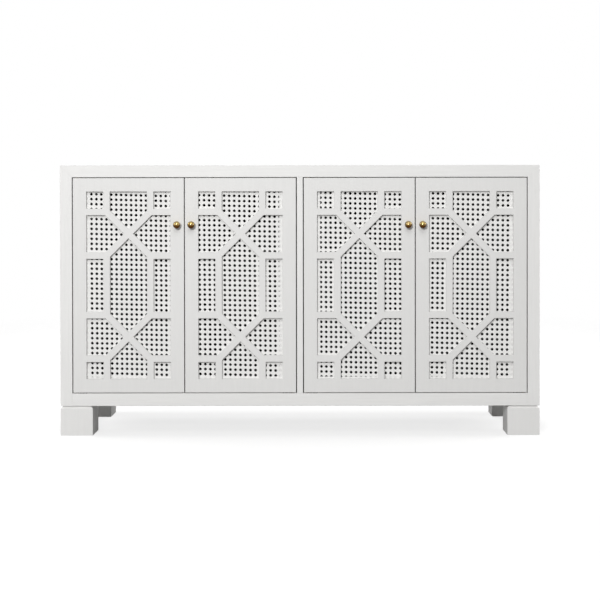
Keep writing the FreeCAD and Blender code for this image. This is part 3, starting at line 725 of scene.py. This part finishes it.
class SIDEBOARD_OT_finish_fittings(bpy.types.Operator):
    """Finish the hinges, screws, strikes, shelf pins and catches."""

    bl_idname = "sideboard.finish_fittings"
    bl_label = "Finish fittings"

    def execute(self, context):
        settings = context.scene.sideboard_metal
        bronzed = plain_metal("bronzed_brass", settings.bronze, [part * BRONZE_DULL for part in settings.bronze],
                              BRUSHED_ACROSS_X, BRONZE_SHEEN)
        cover([f"{door}_{piece}" for door in DOORS for piece in ("case_leaves", "door_leaves")], bronzed)
        zinc = plain_metal("zinc_steel", settings.steel, [part * ZINC_DULL for part in settings.steel],
                           EVEN_SCRATCH, ZINC_SHEEN)
        cover([f"{door}_{piece}" for door in DOORS for piece in ("knob_screw", "door_screws", "strike_plate")], zinc)
        cover(("shelf_pins", "case_hinge_screws", "catch_screws", "foot_screws", "back_screws"), zinc)
        cover([f"{door}_catch" for door in DOORS], moulded_plastic(settings))
        return {"FINISHED"}


class SIDEBOARD_OT_set_stage(bpy.types.Operator):
    """Lay the floor, hang the lamps and place the camera."""

    bl_idname = "sideboard.set_stage"
    bl_label = "Set stage"

    def execute(self, context):
        settings = context.scene.sideboard_stage
        lay_floor(settings)
        light_surround(context.scene, settings)
        for name, place, width, power in LAMPS:
            hang_lamp(name, place, width, getattr(settings, power))
        place_camera(context.scene, settings)
        context.scene.view_settings.view_transform = "Standard"
        return {"FINISHED"}


# Stage

WHITE = (1.0, 1.0, 1.0, 1.0)
SENSOR_WIDTH = 36.0
# Each lamp's name, place and width, and the setting that holds its power.
LAMPS = (
    ("key_lamp", (-1.1, -5.2, 2.15), 0.95, "key_power"),
    ("top_lamp", (0.1, -3.4, 3.8), 2.4, "top_power"),
    ("left_lamp", (-3.4, 0.3, 1.8), 1.4, "side_power"),
    ("right_lamp", (3.4, 0.3, 1.8), 1.4, "side_power"),
    ("rear_lamp", (0.0, 3.4, 1.8), 1.6, "rear_power"),
)


def light_paths_to_background(tree):
    """One for the rays that see the background: from the camera, from metal and through glass."""
    path = tree.nodes.new("ShaderNodeLightPath").outputs
    seen = maths(tree, "MAXIMUM", path["Is Camera Ray"], path["Is Glossy Ray"])
    return maths(tree, "MAXIMUM", seen, path["Is Transmission Ray"])


def lay_floor(settings):
    """A pale disc that fades into the background and keeps the sideboard's shadow."""
    sides = 96
    tone_scale, darkest_tone = 5.0, 0.985
    mesh = bpy.data.meshes.new("floor")
    rim = [(settings.floor_radius * math.cos(2 * math.pi * n / sides),
            settings.floor_radius * math.sin(2 * math.pi * n / sides), 0.0) for n in range(sides)]
    mesh.from_pydata(rim, [], [tuple(range(sides))])
    material, tree, shader = new_material("floor", Roughness=0.9, Specular_IOR_Level=0.1)
    place = own_place(tree)
    tone = spread(tree, cloud(tree, place, tone_scale, detail=3.0), darkest_tone, 1.0)
    tint = add(tree, "ShaderNodeCombineColor", Red=tone, Green=tone, Blue=tone).outputs["Color"]
    feed(tree, blend(tree, 1.0, opaque(settings.floor_colour), tint, "MULTIPLY"), shader.inputs["Base Color"])
    distance = tree.nodes.new("ShaderNodeVectorMath")
    distance.operation = "LENGTH"
    feed(tree, place, distance.inputs[0])
    fade = spread(tree, distance.outputs["Value"], 1.0, 0.0, settings.fade_start, settings.fade_end, smooth=True)
    feed(tree, fade, shader.inputs["Alpha"])
    shader.inputs["Emission Color"].default_value = WHITE
    seen = maths(tree, "MULTIPLY", light_paths_to_background(tree), settings.floor_white)
    feed(tree, seen, shader.inputs["Emission Strength"])
    mesh.materials.append(material)
    floor = bpy.data.objects.new("floor", mesh)
    bpy.context.scene.collection.objects.link(floor)


def light_surround(scene, settings):
    """Even soft light on the sideboard, and a white background behind it."""
    world = bpy.data.worlds.new("surround")
    world.use_nodes = True
    tree = world.node_tree
    soft = tree.nodes["Background"]
    soft.inputs["Color"].default_value = WHITE
    soft.inputs["Strength"].default_value = settings.surround
    white = add(tree, "ShaderNodeBackground", Color=WHITE, Strength=1.0)
    mix = tree.nodes.new("ShaderNodeMixShader")
    tree.links.new(light_paths_to_background(tree), mix.inputs[0])
    tree.links.new(soft.outputs[0], mix.inputs[1])
    tree.links.new(white.outputs[0], mix.inputs[2])
    tree.links.new(mix.outputs[0], tree.nodes["World Output"].inputs["Surface"])
    scene.world = world


def hang_lamp(name, place, width, power):
    """A square soft lamp that faces the sideboard's middle."""
    data = bpy.data.lights.new(name, "AREA")
    data.shape = "SQUARE"
    data.size = width
    data.energy = power
    lamp = bpy.data.objects.new(name, data)
    lamp.location = place
    lamp.visible_camera = False
    lamp.rotation_mode = "QUATERNION"
    lamp.rotation_quaternion = ((CAD_LOW + CAD_HIGH) / 2 - Vector(place)).to_track_quat("-Z", "Y")
    bpy.context.scene.collection.objects.link(lamp)


def place_camera(scene, settings):
    """Camera that looks at the front along +Y."""
    data = bpy.data.cameras.new("camera")
    data.sensor_width = SENSOR_WIDTH
    data.lens = settings.camera_lens
    data.shift_x, data.shift_y = settings.camera_shift
    camera = bpy.data.objects.new("camera", data)
    camera.location = settings.camera_place
    camera.rotation_euler = (math.pi / 2 - settings.camera_dip, settings.camera_roll, 0.0)
    scene.collection.objects.link(camera)
    scene.camera = camera


# Add-on

SETTINGS = (
    ("sideboard_lacquer", LacquerSettings), ("sideboard_cane", CaneSettings), ("sideboard_metal", MetalSettings),
    ("sideboard_stage", StageSettings))
OPERATORS = (
    SIDEBOARD_OT_weave_cane, SIDEBOARD_OT_lacquer_case, SIDEBOARD_OT_lacquer_doors, SIDEBOARD_OT_polish_knobs,
    SIDEBOARD_OT_finish_fittings, SIDEBOARD_OT_set_stage)


class SIDEBOARD_PT_panel(bpy.types.Panel):
    """Shows the sideboard's operators and its settings."""

    bl_idname = "SIDEBOARD_PT_panel"
    bl_label = "Fretwork sideboard"
    bl_space_type = "VIEW_3D"
    bl_region_type = "UI"
    bl_category = "Sideboard"

    def draw(self, context):
        for operator in OPERATORS:
            self.layout.operator(operator.bl_idname)
        for attribute, group in SETTINGS:
            box = self.layout.box()
            for name in group.__annotations__:
                box.prop(getattr(context.scene, attribute), name)


def register():
    """Add the settings, operators and panel to Blender."""
    for attribute, group in SETTINGS:
        bpy.utils.register_class(group)
        setattr(bpy.types.Scene, attribute, bpy.props.PointerProperty(type=group))
    for operator in OPERATORS:
        bpy.utils.register_class(operator)
    bpy.utils.register_class(SIDEBOARD_PT_panel)


def unregister():
    """Take the panel, operators and settings out again."""
    bpy.utils.unregister_class(SIDEBOARD_PT_panel)
    for operator in reversed(OPERATORS):
        bpy.utils.unregister_class(operator)
    for attribute, group in reversed(SETTINGS):
        delattr(bpy.types.Scene, attribute)
        bpy.utils.unregister_class(group)


def main():
    """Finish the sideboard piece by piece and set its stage."""
    register()
    bpy.ops.sideboard.weave_cane()
    bpy.ops.sideboard.lacquer_case()
    bpy.ops.sideboard.lacquer_doors()
    bpy.ops.sideboard.polish_knobs()
    bpy.ops.sideboard.finish_fittings()
    bpy.ops.sideboard.set_stage()


if __name__ == "__main__":
    main()
